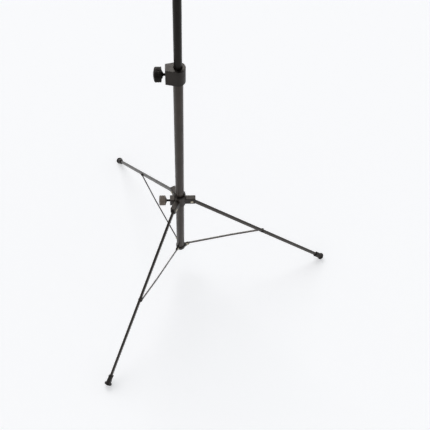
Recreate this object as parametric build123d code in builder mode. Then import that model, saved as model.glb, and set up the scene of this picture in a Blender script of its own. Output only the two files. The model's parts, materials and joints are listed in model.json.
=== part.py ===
from build123d import *
import os
from math import acos, atan2, cos, degrees, hypot, radians, sin

# Folding speaker stand: a tripod with a sliding leg hub and a telescopic pole, in millimetres.
# Origin: on the pole's axis, on the floor. +Z up. Leg 1 points along +X, the clamp knobs along -X.

# Pole: a 35 mm tube with a thinner tube sliding inside it.
TUBE_D = 35.0
TUBE_WALL = 1.5
TUBE_BOTTOM = 137.0
TUBE_TOP = 1298.0
INNER_D = 28.0
INNER_WALL = 1.5
INNER_BOTTOM = 660.0
SLIDE_PLAY = 0.08

# Tripod linkage, given in the upright plane of one leg (distance from the axis, height).
# The two legs beside the clamp knobs stand a little wider apart than the others.
AZIMUTHS = (0.0, 118.0, 242.0)
HUB_PIVOT_R = 51.0
HUB_PIVOT_Z = 522.0
FOOT_R = 680.0
FOOT_Z = 14.0
SPIDER_PIVOT_R = 32.0
SPIDER_PIVOT_Z = 161.0
BRACE_SHARE = 0.514
FOLDED_LEG = 3.0

# Legs, braces and rivets.
LEG_W = 10.0
LEG_H = 16.0
LEG_WALL = 1.2
LEG_CORNER = 3.0
LEG_END = 8.0
LEG_CAP_T = 1.5
LEG_CUT_BACK = 6.0
BRACE_T = 3.5
BRACE_H = 11.0
BRACE_EYE_R = 8.0
BRACE_GAP = 0.35
BRACE_BEND_START = 20.0
BRACE_BEND_SHARE = 0.6
PIVOT_D = 8.0
RIVET_D = 6.0
RIVET_HEAD_D = 12.5
RIVET_HEAD_T = 2.4
RIVET_HEAD_EDGE = 0.6
RIVET_HEAD_FLAT_R = 1.5
PIN_PLAY = 0.05
BRACE_HOLE_PLAY = 0.1

# Rubber feet.
SOLE_R = 16.0
SOLE_H = 5.0
SOLE_EDGE = 1.2
ANKLE_R = 12.5
ANKLE_H = 19.0
ANKLE_EDGE = 5.0
SLEEVE_LEN = 36.0
SLEEVE_WALL = 3.0
SLEEVE_TAPER = 3.0
RIM_LEN = 4.5
RIM_WALL = 1.3

# Bottom bracket with three tabs, each beside its brace. Sides are counter-clockwise from the leg's plane.
SPIDER_R = 20.5
SPIDER_BOTTOM = 133.0
SPIDER_SOCKET_H = 20.0
TAB_SIDE = -0.1
TAB_T = 4.4
TAB_EDGE = 0.8
TAB_END_R = 9.8
BRACE_BASE_SIDE = 2.0
PLUG_HEAD_R = 13.0
PLUG_HEAD_H = 3.0
PLUG_STEM_R = 9.0
PLUG_STEM_H = 12.0

# Sliding hub, with its heights given from the leg pivots.
HUB_R = 24.5
HUB_EDGE = 1.2
HUB_BOTTOM = HUB_PIVOT_Z - 20.0
HUB_TOP = HUB_PIVOT_Z + 41.0
HUB_BORE_R = 21.0
LINER_FLANGE_R = 23.6
LINER_FLANGE_H = 6.0
ARM_END = 66.0
ARM_W = 22.0
ARM_BOTTOM = HUB_PIVOT_Z - 14.0
ARM_TOP = HUB_PIVOT_Z + 20.5
ARM_EDGE = 2.0
SLOT_START = 37.0
SLOT_TOP = HUB_PIVOT_Z + 15.0
SLOT_PLAY = 0.3
HUB_BOSS_END = 42.0
HUB_BOSS_W = 30.0
HUB_BOSS_H = 38.0

# Clamp collar at the top of the lower tube.
COLLAR_R = 26.0
COLLAR_BOTTOM = 1242.0
COLLAR_TOP = 1308.0
COLLAR_BOSS_END = 43.0
COLLAR_BOSS_W = 35.0
COLLAR_CORNER = 2.5
COLLAR_EDGE = 1.2
COLLAR_MOUTH_R = 16.0
BUSH_BOTTOM = 1236.0
BUSH_TOP = 1302.0
GRUB_D = 5.0
GRUB_AZIMUTHS = (60.0, 120.0)
GRUB_Z = 1252.0

# Clamp screws: an M10 stud with a swivel pad, and a plastic knob.
STUD_D = 10.0
STUD_PITCH = 1.5
CLAMP_TURNS = 2.0
PAD_D = 14.0
PAD_LEN = 9.0
PAD_CUP = 4.0
PAD_PLAY = 0.08
NUT_D = 19.6
NUT_LEN = 8.0
NUT_INSET = 3.0
KNOB_BITE = 16.0
KNOB_FLUTE_R = 1.6
KNOB_FLUTE_DEPTH = 0.8
KNOB_GROOVE_R = 0.9
KNOB_CAP_R = 9.0
KNOB_CAP_T = 2.5

# Speaker spigot on the inner tube.
SPIGOT_D = 35.0
SPIGOT_BOTTOM = 1601.0
SPIGOT_TAPER = 15.0
SPIGOT_LEN = 100.0
SPIGOT_SCREW_Z = 1624.0
CAP_T = 5.0
GUIDE_LEN = 30.0
GUIDE_STEM = 12.0

TUBE_R = TUBE_D / 2
TUBE_IN_R = TUBE_R - TUBE_WALL
INNER_R = INNER_D / 2
INNER_IN_R = INNER_R - INNER_WALL
INNER_TOP = SPIGOT_BOTTOM + SPIGOT_TAPER + SPIGOT_LEN
COLLAR_KNOB_Z = (COLLAR_BOTTOM + COLLAR_TOP) / 2
HUB_KNOB_Z = HUB_PIVOT_Z
CLAMP_TRAVEL = STUD_PITCH * CLAMP_TURNS
LEG_LEN = hypot(FOOT_R - HUB_PIVOT_R, HUB_PIVOT_Z - FOOT_Z)
LEG_SLOPE = atan2(HUB_PIVOT_Z - FOOT_Z, FOOT_R - HUB_PIVOT_R)
BRACE_ON_LEG = BRACE_SHARE * LEG_LEN
JOINT_R = HUB_PIVOT_R + BRACE_ON_LEG * cos(LEG_SLOPE)
JOINT_Z = HUB_PIVOT_Z - BRACE_ON_LEG * sin(LEG_SLOPE)
BRACE_LEN = hypot(JOINT_R - SPIDER_PIVOT_R, JOINT_Z - SPIDER_PIVOT_Z)
BRACE_SLOPE = atan2(JOINT_Z - SPIDER_PIVOT_Z, JOINT_R - SPIDER_PIVOT_R)
BRACE_SIDE = LEG_W / 2 + BRACE_GAP + BRACE_T / 2

os.makedirs("parts", exist_ok=True)


def outward(azimuth):
    """Level direction away from the pole."""
    return Vector(cos(radians(azimuth)), sin(radians(azimuth)), 0)


def sideways(azimuth):
    """Level direction across a leg, counter-clockwise seen from above."""
    return outward(azimuth + 90)


def upright_plane(azimuth, side=0.0):
    """A leg's upright plane moved sideways: x away from the pole, y up, z back across the leg."""
    across = sideways(azimuth)
    return Plane(origin=across * side, x_dir=outward(azimuth), z_dir=across * -1)


def leg_plane(azimuth, along):
    """Plane across a leg, so far from its hub pivot: x to the side, y up, z down the leg."""
    down = outward(azimuth) * cos(LEG_SLOPE) + Vector(0, 0, -sin(LEG_SLOPE))
    pivot = outward(azimuth) * HUB_PIVOT_R + Vector(0, 0, HUB_PIVOT_Z)
    return Plane(origin=pivot + down * along, x_dir=sideways(azimuth), z_dir=down)


def brace_plane(azimuth, flat=False):
    """A brace's plane from its base pivot: x along it, y up. Flat: x along it, y to its side."""
    base = outward(azimuth) * SPIDER_PIVOT_R + Vector(0, 0, SPIDER_PIVOT_Z)
    along = outward(azimuth) * cos(BRACE_SLOPE) + Vector(0, 0, sin(BRACE_SLOPE))
    rise = outward(azimuth) * -sin(BRACE_SLOPE) + Vector(0, 0, cos(BRACE_SLOPE))
    return Plane(origin=base, x_dir=along, z_dir=rise if flat else along.cross(rise))


def clamp_plane(height, distance):
    """Plane across a clamp screw's axis, so far from the pole's axis, z towards the knob."""
    return Plane(origin=(-distance, 0, height), x_dir=(0, 1, 0), z_dir=(-1, 0, 0))


def clamp_section(height):
    """Plane along a clamp screw's axis: x towards the knob, y up."""
    return Plane(origin=(0, 0, height), x_dir=(-1, 0, 0), z_dir=(0, 1, 0))


def clamp_axis(height):
    """A clamp screw's own axis."""
    return Axis((0, 0, height), (-1, 0, 0))


def save(piece, name):
    """Name a finished piece and write it to its own file."""
    piece.part.label = name
    export_step(piece.part, f"parts/{name}.step")


def rivet(azimuth, r, z, radius, near, far, near_head=True, far_head=True):
    """A rivet across a leg, with a domed head past each headed end."""
    centre = outward(azimuth) * r + Vector(0, 0, z)
    with BuildPart() as pin:
        with BuildSketch(Plane(origin=centre, x_dir=sideways(azimuth), z_dir=outward(azimuth))):
            with Locations(((near + far) / 2, radius / 2)):
                Rectangle(far - near, radius)
            for end, way, headed in ((near, -1, near_head), (far, 1, far_head)):
                if not headed:
                    continue
                crown = end + way * RIVET_HEAD_T
                rim = end + way * RIVET_HEAD_EDGE
                with BuildLine():
                    Polyline((rim, RIVET_HEAD_D / 2), (end, RIVET_HEAD_D / 2), (end, 0), (crown, 0))
                    Line((crown, 0), (crown, RIVET_HEAD_FLAT_R))
                    TangentArc((crown, RIVET_HEAD_FLAT_R), (rim, RIVET_HEAD_D / 2), tangent=(0, 1))
                make_face()
        revolve(axis=Axis(centre, sideways(azimuth)))
    return pin.part


# Pole ------------------------------------------------------------------------------------------
with BuildPart() as lower_tube:
    with BuildSketch(Plane.XY.offset(TUBE_BOTTOM)):
        Circle(TUBE_R)
        Circle(TUBE_IN_R, mode=Mode.SUBTRACT)
    extrude(amount=TUBE_TOP - TUBE_BOTTOM)
    with BuildSketch(clamp_plane(COLLAR_KNOB_Z, 0)):
        Circle(PAD_D / 2 + PAD_PLAY)
    extrude(amount=TUBE_D, mode=Mode.SUBTRACT)
save(lower_tube, "lower_tube")

with BuildPart() as spider_tab:
    with BuildSketch(upright_plane(0, TAB_SIDE)):
        with Locations((SPIDER_PIVOT_R, SPIDER_PIVOT_Z)):
            Circle(TAB_END_R)
        with BuildLine():
            Polyline(
                (0, SPIDER_BOTTOM),
                (SPIDER_R, SPIDER_BOTTOM),
                (SPIDER_PIVOT_R + TAB_END_R, SPIDER_PIVOT_Z),
                (SPIDER_PIVOT_R, SPIDER_PIVOT_Z + TAB_END_R),
                (0, SPIDER_PIVOT_Z + TAB_END_R),
                close=True,
            )
        make_face()
        with Locations((SPIDER_PIVOT_R, SPIDER_PIVOT_Z)):
            Circle(RIVET_D / 2, mode=Mode.SUBTRACT)
    extrude(amount=TAB_T)
    chamfer(spider_tab.faces().filter_by(Axis.Y).wires().edges().filter_by(GeomType.LINE), TAB_EDGE)

with BuildPart() as base_spider:
    with BuildSketch(Plane.XY.offset(SPIDER_BOTTOM)):
        Circle(SPIDER_R)
    extrude(amount=SPIDER_SOCKET_H)
    chamfer(base_spider.edges(), TAB_EDGE)
    for azimuth in AZIMUTHS:
        add(spider_tab.part, rotation=(0, 0, azimuth))
    with BuildSketch(Plane.XY.offset(TUBE_BOTTOM)):
        Circle(TUBE_R)
    extrude(amount=SPIDER_PIVOT_Z, mode=Mode.SUBTRACT)
    with BuildSketch(Plane.XY.offset(SPIDER_BOTTOM)):
        Circle(PLUG_STEM_R)
    extrude(amount=SPIDER_SOCKET_H, mode=Mode.SUBTRACT)
save(base_spider, "base_spider")

with BuildPart() as base_plug:
    with BuildSketch(Plane.XY.offset(SPIDER_BOTTOM - PLUG_HEAD_H)):
        Circle(PLUG_HEAD_R)
    extrude(amount=PLUG_HEAD_H)
    chamfer(base_plug.faces().sort_by(Axis.Z)[0].edges(), 1.2)
    with BuildSketch(Plane.XY.offset(SPIDER_BOTTOM)):
        Circle(PLUG_STEM_R)
    extrude(amount=PLUG_STEM_H)
save(base_plug, "base_plug")

with BuildPart() as spider_pins:
    for azimuth in AZIMUTHS:
        pin_near = TAB_SIDE - TAB_T
        pin_far = BRACE_BASE_SIDE + BRACE_T / 2 + BRACE_HOLE_PLAY
        add(rivet(azimuth, SPIDER_PIVOT_R, SPIDER_PIVOT_Z, RIVET_D / 2, near=pin_near, far=pin_far))
save(spider_pins, "spider_pins")

# Clamp collar ----------------------------------------------------------------------------------
with BuildPart() as collar_housing:
    with BuildSketch(Plane.XY.offset(COLLAR_BOTTOM)):
        Circle(COLLAR_R)
        with Locations(
            (-COLLAR_BOSS_END + COLLAR_CORNER, COLLAR_BOSS_W / 2 - COLLAR_CORNER),
            (-COLLAR_BOSS_END + COLLAR_CORNER, -COLLAR_BOSS_W / 2 + COLLAR_CORNER),
        ):
            Circle(COLLAR_CORNER)
        make_hull()
    extrude(amount=COLLAR_TOP - COLLAR_BOTTOM)
    chamfer(collar_housing.faces().sort_by(Axis.Z)[0].edges(), COLLAR_EDGE)
    fillet(collar_housing.faces().sort_by(Axis.Z)[-1].edges(), COLLAR_EDGE)
    with BuildSketch(Plane.XY.offset(COLLAR_BOTTOM)):
        Circle(TUBE_R)
    extrude(amount=TUBE_TOP - COLLAR_BOTTOM, mode=Mode.SUBTRACT)
    with BuildSketch(Plane.XY.offset(TUBE_TOP)):
        Circle(COLLAR_MOUTH_R)
    extrude(amount=COLLAR_TOP - TUBE_TOP, mode=Mode.SUBTRACT)
    with BuildSketch(clamp_plane(COLLAR_KNOB_Z, 0)):
        Circle(PAD_D / 2 + PAD_PLAY)
    extrude(amount=COLLAR_BOSS_END - NUT_INSET - NUT_LEN, mode=Mode.SUBTRACT)
    with BuildSketch(clamp_plane(COLLAR_KNOB_Z, COLLAR_BOSS_END - NUT_INSET - NUT_LEN)):
        RegularPolygon(NUT_D / 2, 6)
    extrude(amount=NUT_LEN, mode=Mode.SUBTRACT)
    with BuildSketch(clamp_plane(COLLAR_KNOB_Z, COLLAR_BOSS_END - NUT_INSET)):
        Circle(STUD_D / 2 + PAD_PLAY)
    extrude(amount=NUT_INSET, mode=Mode.SUBTRACT)
    for azimuth in GRUB_AZIMUTHS:
        with BuildSketch(Plane(origin=(0, 0, GRUB_Z), x_dir=(0, 0, 1), z_dir=outward(azimuth))):
            Circle(GRUB_D / 2)
        extrude(amount=COLLAR_R, mode=Mode.SUBTRACT)
save(collar_housing, "collar_housing")

with BuildPart() as collar_bush:
    with BuildSketch(Plane.XY.offset(BUSH_BOTTOM)):
        Circle(TUBE_IN_R)
        Circle(INNER_R + SLIDE_PLAY, mode=Mode.SUBTRACT)
    extrude(amount=BUSH_TOP - BUSH_BOTTOM)
    with BuildSketch(clamp_plane(COLLAR_KNOB_Z, 0)):
        Circle(PAD_D / 2 + PAD_PLAY)
    extrude(amount=TUBE_D, mode=Mode.SUBTRACT)
save(collar_bush, "collar_bush")

with BuildPart() as collar_screws:
    for azimuth in GRUB_AZIMUTHS:
        seat = Plane(origin=outward(azimuth) * TUBE_R + Vector(0, 0, GRUB_Z), z_dir=outward(azimuth))
        with BuildSketch(seat.offset(0.4)):
            Circle(GRUB_D / 2)
        extrude(amount=COLLAR_R - TUBE_R - 1)
        with BuildSketch(seat.offset(COLLAR_R - TUBE_R - 0.6)):
            RegularPolygon(GRUB_D / 4, 6)
        extrude(amount=-2, mode=Mode.SUBTRACT)
save(collar_screws, "collar_screws")

# Sliding hub -----------------------------------------------------------------------------------
with BuildPart() as hub_arm:
    with BuildSketch(Plane.YZ):
        with Locations((0, (ARM_BOTTOM + ARM_TOP) / 2)):
            RectangleRounded(ARM_W, ARM_TOP - ARM_BOTTOM, ARM_EDGE)
    extrude(amount=ARM_END)
    fillet(hub_arm.faces().sort_by(Axis.X)[-1].edges(), ARM_EDGE)
    with BuildSketch(upright_plane(0, LEG_W / 2 + SLOT_PLAY)):
        with Locations((SLOT_START, HUB_BOTTOM)):
            Rectangle(ARM_END, SLOT_TOP - HUB_BOTTOM, align=(Align.MIN, Align.MIN))
    extrude(amount=LEG_W + 2 * SLOT_PLAY, mode=Mode.SUBTRACT)
    with BuildSketch(upright_plane(0, ARM_W / 2)):
        with Locations((HUB_PIVOT_R, HUB_PIVOT_Z)):
            Circle(PIVOT_D / 2)
    extrude(amount=ARM_W, mode=Mode.SUBTRACT)

with BuildPart() as hub_housing:
    with BuildSketch(Plane.XY.offset(HUB_BOTTOM)):
        Circle(HUB_R)
    extrude(amount=HUB_TOP - HUB_BOTTOM)
    chamfer(hub_housing.edges().filter_by(GeomType.CIRCLE), HUB_EDGE)
    with BuildSketch(clamp_plane(HUB_KNOB_Z, 0)):
        RectangleRounded(HUB_BOSS_W, HUB_BOSS_H, 4)
    extrude(amount=HUB_BOSS_END)
    chamfer(hub_housing.faces().sort_by(Axis.X)[0].edges(), HUB_EDGE)
    for azimuth in AZIMUTHS:
        add(hub_arm.part, rotation=(0, 0, azimuth))
    with BuildSketch(Plane.XY.offset(HUB_BOTTOM)):
        Circle(HUB_BORE_R)
    extrude(amount=HUB_TOP - HUB_BOTTOM, mode=Mode.SUBTRACT)
    with BuildSketch(clamp_plane(HUB_KNOB_Z, 0)):
        Circle(PAD_D / 2 + PAD_PLAY)
    extrude(amount=HUB_BOSS_END - NUT_INSET - NUT_LEN, mode=Mode.SUBTRACT)
    with BuildSketch(clamp_plane(HUB_KNOB_Z, HUB_BOSS_END - NUT_INSET - NUT_LEN)):
        RegularPolygon(NUT_D / 2, 6)
    extrude(amount=NUT_LEN, mode=Mode.SUBTRACT)
    with BuildSketch(clamp_plane(HUB_KNOB_Z, HUB_BOSS_END - NUT_INSET)):
        Circle(STUD_D / 2 + PAD_PLAY)
    extrude(amount=NUT_INSET, mode=Mode.SUBTRACT)
save(hub_housing, "hub_housing")

with BuildPart() as hub_liner:
    with BuildSketch(Plane.XY.offset(HUB_BOTTOM)):
        Circle(HUB_BORE_R)
    extrude(amount=HUB_TOP - HUB_BOTTOM)
    with BuildSketch(Plane.XY.offset(HUB_TOP)):
        Circle(LINER_FLANGE_R)
    extrude(amount=LINER_FLANGE_H)
    chamfer(hub_liner.faces().sort_by(Axis.Z)[-1].edges(), 1)
    with BuildSketch(Plane.XY.offset(HUB_BOTTOM)):
        Circle(TUBE_R + SLIDE_PLAY)
    extrude(amount=HUB_TOP + LINER_FLANGE_H - HUB_BOTTOM, mode=Mode.SUBTRACT)
    with BuildSketch(clamp_plane(HUB_KNOB_Z, 0)):
        Circle(PAD_D / 2 + PAD_PLAY)
    extrude(amount=TUBE_D, mode=Mode.SUBTRACT)
save(hub_liner, "hub_liner")

with BuildPart() as hub_pivot_pins:
    for azimuth in AZIMUTHS:
        add(rivet(azimuth, HUB_PIVOT_R, HUB_PIVOT_Z, PIVOT_D / 2, near=-ARM_W / 2, far=ARM_W / 2))
save(hub_pivot_pins, "hub_pivot_pins")


# Clamp screws ----------------------------------------------------------------------------------
def clamp_screw(name, height, tip, boss_end, outline, corners, grooves, flutes):
    """Nut, swivel pad, stud, knob grip and knob cap of one clamp, out along -X from its pad's tip.

    The grip is turned from an outline of (distance from the pole's axis, radius) points.
    """
    nut_start = boss_end - NUT_INSET - NUT_LEN
    cup_floor = tip + PAD_LEN - PAD_CUP
    knob_start, neck_r = outline[0]
    knob_end, cap_r = outline[-1]
    knob_back, knob_r = outline[2]

    with BuildPart() as nut:
        with BuildSketch(clamp_plane(height, nut_start)):
            RegularPolygon(NUT_D / 2, 6)
            Circle(STUD_D / 2 + PIN_PLAY, mode=Mode.SUBTRACT)
        extrude(amount=NUT_LEN)
    save(nut, f"{name}_nut")

    with BuildPart() as pad:
        with BuildSketch(clamp_plane(height, tip)):
            Circle(PAD_D / 2)
        extrude(amount=PAD_LEN)
        with BuildSketch(clamp_plane(height, cup_floor)):
            Circle(STUD_D / 2 + PIN_PLAY)
        extrude(amount=PAD_CUP, mode=Mode.SUBTRACT)
    save(pad, f"{name}_pressure_pad")

    with BuildPart() as stud:
        with BuildSketch(clamp_plane(height, cup_floor + PIN_PLAY)):
            Circle(STUD_D / 2)
        extrude(amount=knob_start + KNOB_BITE - cup_floor - PIN_PLAY)
        chamfer(stud.faces().sort_by(Axis.X)[-1].edges(), 0.8)
    save(stud, f"{name}_knob_stud")

    with BuildPart() as grip:
        with BuildSketch(clamp_section(height)):
            with BuildLine():
                FilletPolyline(*outline, radius=corners)
                Polyline(
                    (knob_end, cap_r),
                    (knob_end - KNOB_CAP_T, cap_r),
                    (knob_end - KNOB_CAP_T, 0),
                    (knob_start + KNOB_BITE, 0),
                    (knob_start + KNOB_BITE, STUD_D / 2),
                    (knob_start, STUD_D / 2),
                    (knob_start, neck_r),
                )
            make_face()
            with Locations(*[(groove, knob_r) for groove in grooves]):
                Circle(KNOB_GROOVE_R, mode=Mode.SUBTRACT)
        revolve(axis=clamp_axis(height))
        with BuildSketch(clamp_plane(height, knob_back - 1)):
            with PolarLocations(knob_r + KNOB_FLUTE_R - KNOB_FLUTE_DEPTH, flutes):
                Circle(KNOB_FLUTE_R)
        extrude(amount=knob_end - knob_back + 2, mode=Mode.SUBTRACT)
    save(grip, f"{name}_knob_grip")

    with BuildPart() as cap:
        with BuildSketch(clamp_plane(height, knob_end - KNOB_CAP_T)):
            Circle(cap_r)
        extrude(amount=KNOB_CAP_T)
        chamfer(cap.faces().sort_by(Axis.X)[0].edges(), 0.6)
    save(cap, f"{name}_knob_cap")


clamp_screw(
    "collar",
    COLLAR_KNOB_Z,
    tip=INNER_R + PIN_PLAY,
    boss_end=COLLAR_BOSS_END,
    outline=[(49.5, 7.0), (54.5, 16.0), (55.5, 26.3), (79.0, 26.3), (83.0, KNOB_CAP_R)],
    corners=[0.8, 1.8, 6.0],
    grooves=[61.5, 69.0],
    flutes=30,
)
clamp_screw(
    "hub",
    HUB_KNOB_Z,
    tip=TUBE_R + PIN_PLAY,
    boss_end=HUB_BOSS_END,
    outline=[(55.0, 6.5), (60.0, 17.5), (61.0, 21.3), (86.7, 21.3), (87.5, KNOB_CAP_R)],
    corners=[0.8, 0.8, 3.5],
    grooves=[68.0, 77.0],
    flutes=24,
)

# Inner tube and speaker spigot -----------------------------------------------------------------
with BuildPart() as inner_tube:
    with BuildSketch(Plane.XY.offset(INNER_BOTTOM)):
        Circle(INNER_R)
        Circle(INNER_IN_R, mode=Mode.SUBTRACT)
    extrude(amount=INNER_TOP - INNER_BOTTOM)
save(inner_tube, "inner_tube")

with BuildPart() as inner_tube_guide:
    with BuildSketch(Plane.XY.offset(INNER_BOTTOM - GUIDE_LEN)):
        Circle(TUBE_IN_R - SLIDE_PLAY)
    extrude(amount=GUIDE_LEN)
    chamfer(inner_tube_guide.faces().sort_by(Axis.Z)[0].edges(), 1.5)
    with BuildSketch(Plane.XY.offset(INNER_BOTTOM)):
        Circle(INNER_IN_R)
    extrude(amount=GUIDE_STEM)
save(inner_tube_guide, "inner_tube_guide")

with BuildPart() as top_adapter:
    with BuildSketch(Plane.XZ):
        with BuildLine():
            Polyline(
                (INNER_R, SPIGOT_BOTTOM),
                (INNER_R + 1.5, SPIGOT_BOTTOM),
                (SPIGOT_D / 2, SPIGOT_BOTTOM + SPIGOT_TAPER),
                (SPIGOT_D / 2, INNER_TOP),
                (INNER_R, INNER_TOP),
                close=True,
            )
        make_face()
    revolve(axis=Axis.Z)
    with BuildSketch(Plane(origin=(0, 0, SPIGOT_SCREW_Z), z_dir=(1, 0, 0))):
        Circle(GRUB_D / 2)
    extrude(amount=SPIGOT_D, mode=Mode.SUBTRACT)
save(top_adapter, "top_adapter")

with BuildPart() as adapter_screw:
    with BuildSketch(Plane(origin=(INNER_R, 0, SPIGOT_SCREW_Z), z_dir=(1, 0, 0))):
        Circle(GRUB_D / 2)
    extrude(amount=SPIGOT_D / 2 - INNER_R - 0.5)
    with BuildSketch(Plane(origin=(SPIGOT_D / 2 - 0.5, 0, SPIGOT_SCREW_Z), z_dir=(1, 0, 0))):
        RegularPolygon(GRUB_D / 4, 6)
    extrude(amount=-2, mode=Mode.SUBTRACT)
save(adapter_screw, "adapter_screw")

with BuildPart() as top_cap:
    with BuildSketch(Plane.XY.offset(INNER_TOP)):
        Circle(SPIGOT_D / 2)
    extrude(amount=CAP_T)
    chamfer(top_cap.faces().sort_by(Axis.Z)[-1].edges(), 1.5)
    with BuildSketch(Plane.XY.offset(INNER_TOP)):
        Circle(INNER_IN_R)
    extrude(amount=-GUIDE_STEM)
save(top_cap, "top_cap")

# Legs and braces -------------------------------------------------------------------------------
for number, azimuth in enumerate(AZIMUTHS, start=1):
    with BuildPart() as leg_tube:
        with BuildSketch(leg_plane(azimuth, -LEG_END)):
            RectangleRounded(LEG_W, LEG_H, LEG_CORNER)
            offset(amount=-LEG_WALL, mode=Mode.SUBTRACT)
        extrude(amount=LEG_LEN + LEG_END - LEG_CUT_BACK)
        with BuildSketch(upright_plane(azimuth, LEG_W / 2)):
            with Locations((HUB_PIVOT_R, HUB_PIVOT_Z)):
                Circle(PIVOT_D / 2 + PIN_PLAY)
            with Locations((JOINT_R, JOINT_Z)):
                Circle(RIVET_D / 2)
        extrude(amount=LEG_W, mode=Mode.SUBTRACT)
    save(leg_tube, f"leg_tube_{number}")

    with BuildPart() as leg_end_cap:
        with BuildSketch(leg_plane(azimuth, -LEG_END)):
            RectangleRounded(LEG_W - 0.6, LEG_H - 1, LEG_CORNER - 0.5)
        extrude(amount=-LEG_CAP_T)
        with BuildSketch(leg_plane(azimuth, -LEG_END)):
            RectangleRounded(LEG_W, LEG_H, LEG_CORNER)
            offset(amount=-LEG_WALL, mode=Mode.REPLACE)
        extrude(amount=LEG_END - PIVOT_D / 2 - 0.5)
    save(leg_end_cap, f"leg_end_cap_{number}")

    with BuildPart() as leg_rivet:
        add(rivet(azimuth, JOINT_R, JOINT_Z, RIVET_D / 2, near=-LEG_W / 2, far=LEG_W / 2, far_head=False))
    save(leg_rivet, f"leg_rivet_{number}")

    with BuildPart() as foot:
        sole = Plane(origin=outward(azimuth) * FOOT_R)
        with BuildSketch(sole):
            Circle(ANKLE_R)
        extrude(amount=ANKLE_H)
        fillet(foot.faces().sort_by(Axis.Z)[-1].edges(), ANKLE_EDGE)
        with BuildSketch(sole):
            Circle(SOLE_R)
        extrude(amount=SOLE_H)
        rim_edges = foot.edges().filter_by(GeomType.CIRCLE).filter_by(lambda edge: edge.radius == SOLE_R)
        chamfer(rim_edges, SOLE_EDGE)
        with BuildSketch(leg_plane(azimuth, LEG_LEN - SLEEVE_LEN)):
            RectangleRounded(LEG_W + 2 * SLEEVE_WALL, LEG_H + 2 * SLEEVE_WALL, LEG_CORNER + SLEEVE_WALL)
        extrude(amount=SLEEVE_LEN - LEG_CUT_BACK, taper=-SLEEVE_TAPER)
        with BuildSketch(leg_plane(azimuth, LEG_LEN - SLEEVE_LEN)):
            RectangleRounded(
                LEG_W + 2 * SLEEVE_WALL + 2 * RIM_WALL,
                LEG_H + 2 * SLEEVE_WALL + 2 * RIM_WALL,
                LEG_CORNER + SLEEVE_WALL + RIM_WALL,
            )
        extrude(amount=RIM_LEN)
        with BuildSketch(leg_plane(azimuth, LEG_LEN - SLEEVE_LEN)):
            RectangleRounded(LEG_W, LEG_H, LEG_CORNER)
        extrude(amount=SLEEVE_LEN - LEG_CUT_BACK, mode=Mode.SUBTRACT)
    save(foot, f"foot_{number}")

    with BuildPart() as brace:
        with BuildSketch(brace_plane(azimuth).offset(-BRACE_SIDE - BRACE_T)):
            with Locations((BRACE_LEN / 2, 0)):
                Rectangle(BRACE_LEN, BRACE_H)
            with Locations((0, 0), (BRACE_LEN, 0)):
                Circle(BRACE_EYE_R)
                Circle(RIVET_D / 2 + BRACE_HOLE_PLAY, mode=Mode.SUBTRACT)
        extrude(amount=2 * BRACE_SIDE + BRACE_T)
        bend_end = BRACE_BEND_SHARE * BRACE_LEN
        with BuildSketch(brace_plane(azimuth, flat=True)):
            with BuildLine():
                Polyline(
                    (-BRACE_EYE_R, BRACE_BASE_SIDE - BRACE_T / 2),
                    (BRACE_BEND_START, BRACE_BASE_SIDE - BRACE_T / 2),
                    (bend_end, BRACE_SIDE - BRACE_T / 2),
                    (BRACE_LEN + BRACE_EYE_R, BRACE_SIDE - BRACE_T / 2),
                    (BRACE_LEN + BRACE_EYE_R, BRACE_SIDE + BRACE_T / 2),
                    (bend_end, BRACE_SIDE + BRACE_T / 2),
                    (BRACE_BEND_START, BRACE_BASE_SIDE + BRACE_T / 2),
                    (-BRACE_EYE_R, BRACE_BASE_SIDE + BRACE_T / 2),
                    close=True,
                )
            make_face()
        extrude(amount=BRACE_EYE_R, both=True, mode=Mode.INTERSECT)
    save(brace, f"brace_{number}")

    with BuildPart() as brace_rivet:
        brace_near = BRACE_SIDE - BRACE_T / 2
        brace_far = BRACE_SIDE + BRACE_T / 2
        add(rivet(azimuth, JOINT_R, JOINT_Z, RIVET_D / 2, near=brace_near, far=brace_far, near_head=False))
    save(brace_rivet, f"brace_rivet_{number}")

# Folding: the hub's lift, and how far each leg and brace turns, from set up to folded.
folded_joint_r = HUB_PIVOT_R + BRACE_ON_LEG * sin(radians(FOLDED_LEG))
folded_brace = acos((folded_joint_r - SPIDER_PIVOT_R) / BRACE_LEN)
folded_joint_z = SPIDER_PIVOT_Z + BRACE_LEN * sin(folded_brace)
hub_lift = folded_joint_z + BRACE_ON_LEG * cos(radians(FOLDED_LEG)) - HUB_PIVOT_Z
leg_swing = 90 - FOLDED_LEG - degrees(LEG_SLOPE)
brace_swing = degrees(folded_brace - BRACE_SLOPE)
print(f"leg {LEG_LEN:.2f} mm at {degrees(LEG_SLOPE):.3f} deg, brace {BRACE_LEN:.2f} mm")
print(f"brace-leg rivet at r {JOINT_R:.3f}, z {JOINT_Z:.3f}")
print(f"hub lift {hub_lift:.2f} mm, leg swing {leg_swing:.3f} deg, brace swing {brace_swing:.3f} deg")
print(f"clamp travel {CLAMP_TRAVEL:.2f} mm in {CLAMP_TURNS:.1f} turns")
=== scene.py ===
import json
import math

import bmesh
import bpy
from mathutils import Matrix, Vector


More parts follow.
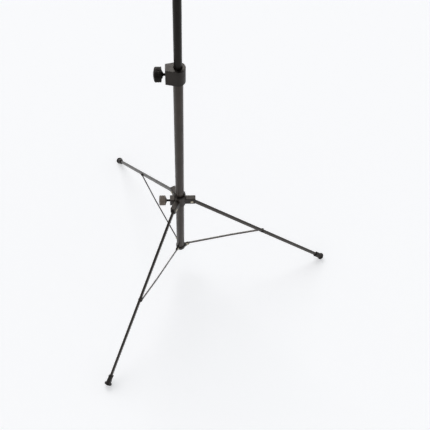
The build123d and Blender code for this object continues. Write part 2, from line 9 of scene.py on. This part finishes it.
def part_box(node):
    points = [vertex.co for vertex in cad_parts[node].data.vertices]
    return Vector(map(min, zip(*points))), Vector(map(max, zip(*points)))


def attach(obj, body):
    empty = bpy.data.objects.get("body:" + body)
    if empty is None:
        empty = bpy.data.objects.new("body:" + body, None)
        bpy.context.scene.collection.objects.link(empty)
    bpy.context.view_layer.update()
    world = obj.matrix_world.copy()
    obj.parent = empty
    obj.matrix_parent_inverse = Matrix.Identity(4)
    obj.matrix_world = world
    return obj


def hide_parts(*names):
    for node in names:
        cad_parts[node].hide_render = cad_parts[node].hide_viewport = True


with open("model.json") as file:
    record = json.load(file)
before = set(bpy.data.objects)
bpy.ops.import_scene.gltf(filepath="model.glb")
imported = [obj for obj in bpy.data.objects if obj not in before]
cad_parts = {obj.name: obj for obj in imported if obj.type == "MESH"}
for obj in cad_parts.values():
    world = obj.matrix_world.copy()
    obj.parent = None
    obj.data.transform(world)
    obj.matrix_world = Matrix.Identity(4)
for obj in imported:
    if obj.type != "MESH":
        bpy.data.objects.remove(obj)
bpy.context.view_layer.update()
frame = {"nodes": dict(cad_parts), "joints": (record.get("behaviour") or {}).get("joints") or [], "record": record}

# Folding speaker stand, in metres. The CAD frame gives every place and size that a piece needs.
NODES = frame["nodes"]
RECORD = frame["record"]
JOINTS = {joint["name"]: joint for joint in frame["joints"]}
COUPLINGS = {coupling["joint"]: coupling["ratio"] for coupling in RECORD["behaviour"]["couplings"]}
SCENE = bpy.context.scene
MM = 0.001
LEGS = (1, 2, 3)

# Camera: raised, in front of the stand, aimed down at the middle of the pole.
CAMERA_PLACE = (0.0, -1.589, 2.894)
CAMERA_YAW = 2.952
CAMERA_PITCH = 53.779
CAMERA_ROLL = 1.539
CAMERA_LENS = 56.33
CAMERA_SENSOR = 36.0
CAMERA_SHIFT = (0.035, -0.100)

# Studio.
FLOOR_HALF = 14.0
FLOOR_COLOR = (0.824, 0.829, 0.839)
FLOOR_GLOW = 0.432
FLOOR_ROUGHNESS = 0.9
FLOOR_SPECULAR = 0.05
WALL_COLOR = (0.939, 0.947, 0.965)
WALL_HEIGHT = 0.38
CEILING_HEIGHT = 0.58
CEILING_SHADE = 0.20
KEY_FROM = (-0.20, 0.66, 0.72)
KEY_ANGLE = 40.0
KEY_STRENGTH = 1.14
SHINE_ANGLE = 50.0
SHINE_STRENGTH = 2.3

# Gloss of the black finishes, a little warm.
WARM_GLOSS = (1.0, 0.92, 0.85, 1.0)

# Surface detail: noise scales are per metre.
DRIFT_SCALE = 14
GLOSS_SCALE = 45
SCUFF_STRETCH = (160, 160, 9)
SHARP_ANGLE = 38.0

# Clamp knobs and studs, in metres. Steps are points in one flute, one groove or one turn of thread.
KNOB_BORE_DEPTH = 0.012
FLUTE_DEPTH = 0.0009
FLUTE_LEAD = 0.0025
FLUTE_RUN_OUT = 0.004
FLUTE_STEPS = 8
FLUTED_FROM = 0.8
FLUTED_BLEND = 0.12
GROOVE_HALF_WIDTH = 0.0009
GROOVE_DEPTH = 0.0007
GROOVE_STEPS = 6
CAP_CLEARANCE = 0.00005
THREAD_DEPTH = 0.0006
THREAD_LEAD = 0.0015
THREAD_STEPS = 6
THREAD_AROUND = 24

# Legs: the point where a leg's axis ends, as (distance from the pole, height), in metres.
LEG_END = (0.680, 0.014)
LEG_PIVOT = JOINTS["leg_fold_1"]["pos_m"]
LEG_LENGTH = math.hypot(LEG_END[0] - LEG_PIVOT[0], LEG_PIVOT[2] - LEG_END[1])
LEG_SLOPE = math.atan2(LEG_PIVOT[2] - LEG_END[1], LEG_END[0] - LEG_PIVOT[0])

# Rubber boots, in millimetres.
BOOT_AROUND = 64
FLANGE_R = 16.0
FLANGE_T = 5.0
SLEEVE_HALF_W = 8.0
SLEEVE_HALF_H = 11.0


# Camera and studio -----------------------------------------------------------------------------
def make_camera():
    """A raised view from the front, aimed down at the middle of the pole."""
    camera_data = bpy.data.cameras.new("camera")
    camera_data.lens = CAMERA_LENS
    camera_data.sensor_width = CAMERA_SENSOR
    camera_data.shift_x, camera_data.shift_y = CAMERA_SHIFT
    camera_data.clip_end = 100
    camera = bpy.data.objects.new("camera", camera_data)
    SCENE.collection.objects.link(camera)
    turn = Matrix.Rotation(math.radians(-CAMERA_YAW), 4, "Z")
    tilt = Matrix.Rotation(math.radians(90 - CAMERA_PITCH), 4, "X")
    roll = Matrix.Rotation(math.radians(CAMERA_ROLL), 4, "Z")
    camera.matrix_world = Matrix.Translation(CAMERA_PLACE) @ turn @ tilt @ roll
    SCENE.camera = camera


def sun(name, angle, strength):
    """A broad light from the key's direction, its angle in degrees."""
    data = bpy.data.lights.new(name, "SUN")
    data.energy = strength
    data.angle = math.radians(angle)
    light = bpy.data.objects.new(name, data)
    SCENE.collection.objects.link(light)
    light.matrix_world = Vector(KEY_FROM).to_track_quat("Z", "Y").to_matrix().to_4x4()
    return light


def make_studio():
    """Pale walls, a dimmer ceiling, a pale floor, a soft key from behind, and a shine seen only in gloss."""
    world = bpy.data.worlds.new("studio")
    world.use_nodes = True
    nodes, links = world.node_tree.nodes, world.node_tree.links
    direction = nodes.new("ShaderNodeTexCoord").outputs["Generated"]
    parts = nodes.new("ShaderNodeSeparateXYZ")
    links.new(direction, parts.inputs["Vector"])
    shade = spread(nodes, links, parts.outputs["Z"], 1.0, CEILING_SHADE, WALL_HEIGHT, CEILING_HEIGHT)
    links.new(shade, nodes["Background"].inputs["Strength"])
    nodes["Background"].inputs["Color"].default_value = (*WALL_COLOR, 1)
    SCENE.world = world
    SCENE.view_settings.view_transform = "Standard"

    mesh = bpy.data.meshes.new("floor")
    builder = bmesh.new()
    bmesh.ops.create_grid(builder, x_segments=1, y_segments=1, size=FLOOR_HALF)
    builder.to_mesh(mesh)
    builder.free()
    floor = bpy.data.objects.new("floor", mesh)
    SCENE.collection.objects.link(floor)
    material, nodes, links, shader = node_material("floor_paper", FLOOR_ROUGHNESS)
    shader.inputs["Base Color"].default_value = (*FLOOR_COLOR, 1)
    shader.inputs["Specular IOR Level"].default_value = FLOOR_SPECULAR
    shader.inputs["Emission Color"].default_value = (*FLOOR_COLOR, 1)
    shader.inputs["Emission Strength"].default_value = FLOOR_GLOW / FLOOR_COLOR[1]
    mesh.materials.append(material)

    sun("key", KEY_ANGLE, KEY_STRENGTH)
    shine = sun("shine", SHINE_ANGLE, SHINE_STRENGTH)
    shine.visible_diffuse = False


# Materials -------------------------------------------------------------------------------------
def node_material(name, roughness):
    """A new material with its node tree and its Principled shader."""
    material = bpy.data.materials.new(name)
    material.use_nodes = True
    tree = material.node_tree
    shader = tree.nodes["Principled BSDF"]
    shader.inputs["Roughness"].default_value = roughness
    return material, tree.nodes, tree.links, shader


def noise(nodes, links, vector, scale, detail):
    """A noise texture over the object's own space."""
    texture = nodes.new("ShaderNodeTexNoise")
    texture.inputs["Scale"].default_value = scale
    texture.inputs["Detail"].default_value = detail
    links.new(vector, texture.inputs["Vector"])
    return texture.outputs["Fac"]


def spread(nodes, links, value, low, high, start=0.35, stop=0.65):
    """Map the middle of a noise value to the range from low to high."""
    remap = nodes.new("ShaderNodeMapRange")
    remap.inputs["From Min"].default_value = start
    remap.inputs["From Max"].default_value = stop
    remap.inputs["To Min"].default_value = low
    remap.inputs["To Max"].default_value = high
    links.new(value, remap.inputs["Value"])
    return remap.outputs["Result"]


def blend_color(nodes, links, factor, first, second):
    """Mix two colours, or a colour socket and a colour, by a factor."""
    mix = nodes.new("ShaderNodeMix")
    mix.data_type = "RGBA"
    links.new(factor, mix.inputs["Factor"])
    if isinstance(first, bpy.types.NodeSocket):
        links.new(first, mix.inputs[6])
    else:
        mix.inputs[6].default_value = (*first, 1)
    mix.inputs[7].default_value = (*second, 1)
    return mix.outputs[2]


def add_bump(nodes, links, shader, height, strength, distance):
    """Roughen a shader's surface by a height, without moving the mesh."""
    bump = nodes.new("ShaderNodeBump")
    bump.inputs["Strength"].default_value = strength
    bump.inputs["Distance"].default_value = distance
    links.new(height, bump.inputs["Height"])
    links.new(bump.outputs["Normal"], shader.inputs["Normal"])


def coated(name, color, roughness, grain, strength, scuffs=0.0, specular=0.2, mottle=0.2):
    """Powder coat, paint, rubber or plastic: fine grain, drifting tone and gloss, faint scuffs."""
    material, nodes, links, shader = node_material(name, roughness)
    shader.inputs["Specular IOR Level"].default_value = specular
    shader.inputs["Specular Tint"].default_value = WARM_GLOSS
    place = nodes.new("ShaderNodeTexCoord").outputs["Object"]
    drift = noise(nodes, links, place, DRIFT_SCALE, 4)
    dark = [part * (1 - mottle) for part in color]
    light = [part * (1 + mottle) for part in color]
    tone = blend_color(nodes, links, spread(nodes, links, drift, 0, 1), dark, light)
    if scuffs:
        stretch = nodes.new("ShaderNodeMapping")
        stretch.inputs["Scale"].default_value = SCUFF_STRETCH
        links.new(place, stretch.inputs["Vector"])
        streaks = noise(nodes, links, stretch.outputs["Vector"], 1.0, 5)
        worn = spread(nodes, links, streaks, 0, scuffs, 0.60, 0.78)
        tone = blend_color(nodes, links, worn, tone, [part * 4 for part in color])
    links.new(tone, shader.inputs["Base Color"])
    sheen = noise(nodes, links, place, GLOSS_SCALE, 3)
    gloss = spread(nodes, links, sheen, roughness - 0.05, roughness + 0.06)
    links.new(gloss, shader.inputs["Roughness"])
    add_bump(nodes, links, shader, noise(nodes, links, place, grain, 3), strength, 0.0003)
    return material


def plated(name, color, roughness):
    """Bright zinc plate with fine pits and a slight cloudiness."""
    material, nodes, links, shader = node_material(name, roughness)
    shader.inputs["Metallic"].default_value = 1
    place = nodes.new("ShaderNodeTexCoord").outputs["Object"]
    cloud = spread(nodes, links, noise(nodes, links, place, 260, 4), 0, 1)
    dull = [part * 0.8 for part in color]
    links.new(blend_color(nodes, links, cloud, dull, color), shader.inputs["Base Color"])
    gloss = spread(nodes, links, noise(nodes, links, place, 900, 3), roughness - 0.08, roughness + 0.1)
    links.new(gloss, shader.inputs["Roughness"])
    add_bump(nodes, links, shader, noise(nodes, links, place, 1400, 2), 0.15, 0.0002)
    return material


def dress(material, *names):
    """Give CAD nodes a material."""
    for name in names:
        slots = NODES[name].data.materials
        slots.clear()
        slots.append(material)


# Mesh helpers ----------------------------------------------------------------------------------
def add_piece(name, builder, material, body, slot, *replaced):
    """Make an object from a bmesh, and say what it rides on, replaces and is made of."""
    bmesh.ops.recalc_face_normals(builder, faces=builder.faces)
    mesh = bpy.data.meshes.new(name)
    builder.to_mesh(mesh)
    builder.free()
    mesh.materials.append(material)
    piece = bpy.data.objects.new(name, mesh)
    SCENE.collection.objects.link(piece)
    mesh.shade_smooth()
    mesh.set_sharp_from_angle(angle=math.radians(SHARP_ANGLE))
    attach(piece, body)
    if replaced:
        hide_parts(*replaced)
    return piece


def skin(builder, rings):
    """Faces between rings of points, closed by a fan at each end."""
    loops = [[builder.verts.new(point) for point in ring] for ring in rings]
    count = len(loops[0])
    for near, far in zip(loops, loops[1:]):
        for i in range(count):
            j = (i + 1) % count
            builder.faces.new((near[i], near[j], far[j], far[i]))
    for loop in (loops[0], loops[-1]):
        middle = builder.verts.new(sum((vert.co for vert in loop), Vector()) / count)
        for i in range(count):
            builder.faces.new((loop[i], loop[(i + 1) % count], middle))


def rounded(points, radii, steps=6):
    """An outline with its inner corners rounded: one radius for each corner."""
    outline = [Vector(points[0])]
    for before, corner, after, radius in zip(points, points[1:], points[2:], radii):
        corner = Vector(corner)
        back = (Vector(before) - corner).normalized()
        ahead = (Vector(after) - corner).normalized()
        half = back.angle(ahead) / 2
        if radius <= 0:
            outline.append(corner)
            continue
        reach = radius / math.tan(half)
        centre = corner + (back + ahead).normalized() * radius / math.sin(half)
        start = corner + back * reach - centre
        stop = corner + ahead * reach - centre
        turn = start.angle(stop)
        for step in range(steps + 1):
            share = step / steps
            arm = start * math.sin((1 - share) * turn) + stop * math.sin(share * turn)
            outline.append(centre + arm / math.sin(turn))
    outline.append(Vector(points[-1]))
    return outline


# Clamp knobs -----------------------------------------------------------------------------------
def axis_ring(height, distance, radii):
    """A ring of points round a clamp screw's axis, at a distance out from the pole."""
    count = len(radii)
    ring = []
    for i, radius in enumerate(radii):
        angle = 2 * math.pi * i / count
        ring.append(Vector((-distance, radius * math.cos(angle), height + radius * math.sin(angle))))
    return ring


def make_knob(clamp, material, points, corners, grooves, flutes):
    """A fluted grip with turned grooves, a bore and a cap seat; points are (distance out, radius) in mm."""
    grip = f"{clamp}_knob_grip"
    low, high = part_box(grip)
    height = (low[2] + high[2]) / 2
    start = -high[0]
    rim = (high[2] - low[2]) / 2
    cap_low, cap_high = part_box(f"{clamp}_knob_cap")
    stud_low, stud_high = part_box(f"{clamp}_knob_stud")
    stud_r = (stud_high[2] - stud_low[2]) / 2
    cap_back = -cap_high[0]
    cap_r = (cap_high[2] - cap_low[2]) / 2
    outline = [(start + x * MM, r * MM) for x, r in rounded(points, corners)]
    rim_back = points[2][0] * MM + start
    rim_front = points[3][0] * MM + start
    profile = [(start + KNOB_BORE_DEPTH, stud_r), (start, stud_r)]
    for (x0, r0), (x1, r1) in zip(outline, outline[1:]):
        profile.append((x0, r0))
        flat = abs(r1 - r0) < 1e-7
        for groove in grooves if flat else ():
            centre = start + groove * MM
            for step in range(GROOVE_STEPS + 1):
                angle = math.pi * step / GROOVE_STEPS
                across = centre - GROOVE_HALF_WIDTH * math.cos(angle)
                profile.append((across, r0 - GROOVE_DEPTH * math.sin(angle)))
    profile.append(outline[-1])
    profile.append((cap_back, cap_r + CAP_CLEARANCE))
    count = flutes * FLUTE_STEPS
    rings = []
    for distance, radius in profile:
        inside = min(distance - rim_back, rim_front + FLUTE_RUN_OUT - distance) / FLUTE_LEAD
        outside = (radius - FLUTED_FROM * rim) / (FLUTED_BLEND * rim)
        weight = max(0.0, min(1.0, inside)) * max(0.0, min(1.0, outside))
        radii = []
        for i in range(count):
            wave = 0.5 + 0.5 * math.cos(2 * math.pi * i / FLUTE_STEPS)
            radii.append(radius - FLUTE_DEPTH * weight * wave ** 2)
        rings.append(axis_ring(height, distance, radii))
    builder = bmesh.new()
    skin(builder, rings)
    add_piece(f"{clamp}_knob_moulding", builder, material, f"{clamp}_knob", "black_plastic", grip)


def make_stud(clamp):
    """The threaded stud between the clamp's block and its knob."""
    stud = f"{clamp}_knob_stud"
    low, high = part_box(stud)
    height = (low[2] + high[2]) / 2
    start, stop = -high[0], -low[0]
    radius = (high[2] - low[2]) / 2
    pitch = 2 * math.pi * COUPLINGS[f"{clamp}_pad_slide"]
    steps = int((stop - start) / pitch * THREAD_STEPS)
    rings = []
    for step in range(steps + 1):
        distance = start + (stop - start) * step / steps
        lead = min(1.0, min(distance - start, stop - distance) / THREAD_LEAD)
        radii = []
        for i in range(THREAD_AROUND):
            phase = ((distance - start) / pitch + i / THREAD_AROUND) % 1.0
            depth = abs(2 * phase - 1) * THREAD_DEPTH
            radii.append(radius - depth * lead - THREAD_DEPTH * (1 - lead))
        rings.append(axis_ring(height, distance, radii))
    builder = bmesh.new()
    skin(builder, rings)
    add_piece(f"{clamp}_knob_thread", builder, black_steel, f"{clamp}_knob", "black_steel", stud)


# Rubber boots ----------------------------------------------------------------------------------
def boot_stations():
    """Sections across a boot: (distance up the leg, half height, half width, squareness), in mm."""
    def ring(along, radius):
        """A round section."""
        return (along, radius, radius, 2.0)

    face, groove, rim = -FLANGE_T, 0.8 - FLANGE_T, FLANGE_R
    tread = [ring(groove, 3.0), ring(face, 3.8), ring(face, 6.4), ring(groove, 7.0), ring(groove, 8.2)]
    tread += [ring(face, 9.0), ring(face, 11.4), ring(groove, 12.0), ring(groove, 12.9), ring(face, 13.5)]
    flange = [ring(face, rim - 1.0), ring(face + 0.3, rim - 0.3), ring(face + 1.0, rim), ring(-1.1, rim)]
    flange += [ring(-0.4, rim - 0.3), ring(0.0, rim - 1.1)]
    neck = [(0.2, 13.4, 11.0, 2.3), (0.9, 12.9, 10.2, 2.7), (3.0, 12.8, 9.8, 3.2), (10.0, 12.4, 9.4, 3.8)]
    neck += [(20.0, 11.8, 8.7, 4.2)]
    h, w = SLEEVE_HALF_H, SLEEVE_HALF_W
    lip = [(30.6, 0.2), (31.1, 0.2), (31.5, 0.9), (32.2, 1.3), (35.2, 1.3), (35.9, 0.9), (36.0, 0.2)]
    lip += [(36.0, -2.2), (35.3, -2.9), (7.0, -2.9)]
    return tread + flange + neck + [(along, h + grow, w + grow, 4.5) for along, grow in lip]


def make_boot(number):
    """A ferrule in line with its leg, pressed flat where its flange meets the floor."""
    pivot = Vector(JOINTS[f"leg_fold_{number}"]["pos_m"])
    outward = Vector((pivot.x, pivot.y, 0)).normalized()
    across = Vector((-outward.y, outward.x, 0))
    down_leg = outward * math.cos(LEG_SLOPE) - Vector((0, 0, math.sin(LEG_SLOPE)))
    rise = outward * math.sin(LEG_SLOPE) + Vector((0, 0, math.cos(LEG_SLOPE)))
    end = pivot + down_leg * LEG_LENGTH
    rings = []
    for along, half_h, half_w, square in boot_stations():
        ring = []
        for i in range(BOOT_AROUND):
            angle = 2 * math.pi * i / BOOT_AROUND
            c, s = math.cos(angle), math.sin(angle)
            size = (abs(c) ** square + abs(s) ** square) ** (-1 / square) * MM
            point = end - down_leg * along * MM + rise * c * size * half_h + across * s * size * half_w
            point.z = max(point.z, 0)
            ring.append(point)
        rings.append(ring)
    builder = bmesh.new()
    skin(builder, rings)
    add_piece(f"rubber_boot_{number}", builder, rubber, f"leg_{number}", "rubber", f"foot_{number}")


make_camera()
make_studio()

powder = coated("powder_coat", (0.0230, 0.0172, 0.0136), 0.34, 2600, 0.22, scuffs=0.3, specular=0.28)
leg_coat = coated("leg_coat", (0.0130, 0.0102, 0.0084), 0.30, 2600, 0.22, scuffs=0.5, specular=0.5)
# The inner tube's coat is the powder coat painted darker and less glossy: painted shade, so the upper tube reads
# darker than the lower tube.
shaded_inner_coat = coated("inner_tube_shaded_coat", (0.0062, 0.0050, 0.0043), 0.30, 2600, 0.15, scuffs=0.2, specular=0.13)
cast = coated("cast_paint", (0.0090, 0.0072, 0.0060), 0.38, 1500, 0.6, specular=0.22, mottle=0.5)
hub_cast = coated("hub_cast_paint", (0.0260, 0.0212, 0.0180), 0.44, 1100, 0.8, specular=0.25, mottle=0.6)
plastic = coated("black_plastic", (0.0042, 0.0038, 0.0036), 0.38, 3200, 0.2, specular=0.13)
worn_plastic = coated("worn_plastic", (0.130, 0.110, 0.094), 0.55, 900, 0.5, specular=0.2, mottle=0.5)
black_steel = coated("black_steel", (0.0040, 0.0036, 0.0033), 0.36, 2500, 0.2, specular=0.2)
rubber = coated("rubber", (0.0120, 0.0108, 0.0104), 0.50, 1900, 0.35, specular=0.35)
zinc = plated("zinc_steel", (0.50, 0.46, 0.36), 0.34)
BY_SLOT = {
    "powder_coat": powder,
    "cast_black": cast,
    "black_plastic": plastic,
    "zinc_steel": zinc,
    "black_steel": black_steel,
    "rubber": rubber,
}
for row in RECORD["subparts"]:
    dress(BY_SLOT[row["material_slot"]], row["node"])
# The inner tube takes the darker copy of the powder coat, as painted shade.
dress(shaded_inner_coat, "inner_tube")
dress(hub_cast, "hub_housing")
for number in LEGS:
    dress(leg_coat, f"leg_tube_{number}", f"brace_{number}")

make_knob(
    "collar",
    plastic,
    points=[(0, 7.0), (5.0, 16.0), (6.0, 26.3), (29.5, 26.3), (33.5, 9.0)],
    corners=[0.8, 1.8, 6.0],
    grooves=(12.0, 19.5),
    flutes=30,
)
make_knob(
    "hub",
    worn_plastic,
    points=[(0, 6.5), (5.0, 17.5), (6.0, 21.3), (31.7, 21.3), (32.5, 9.0)],
    corners=[0.8, 0.8, 3.5],
    grooves=(13.0, 22.0),
    flutes=24,
)
for clamp in ("collar", "hub"):
    make_stud(clamp)
for number in LEGS:
    make_boot(number)
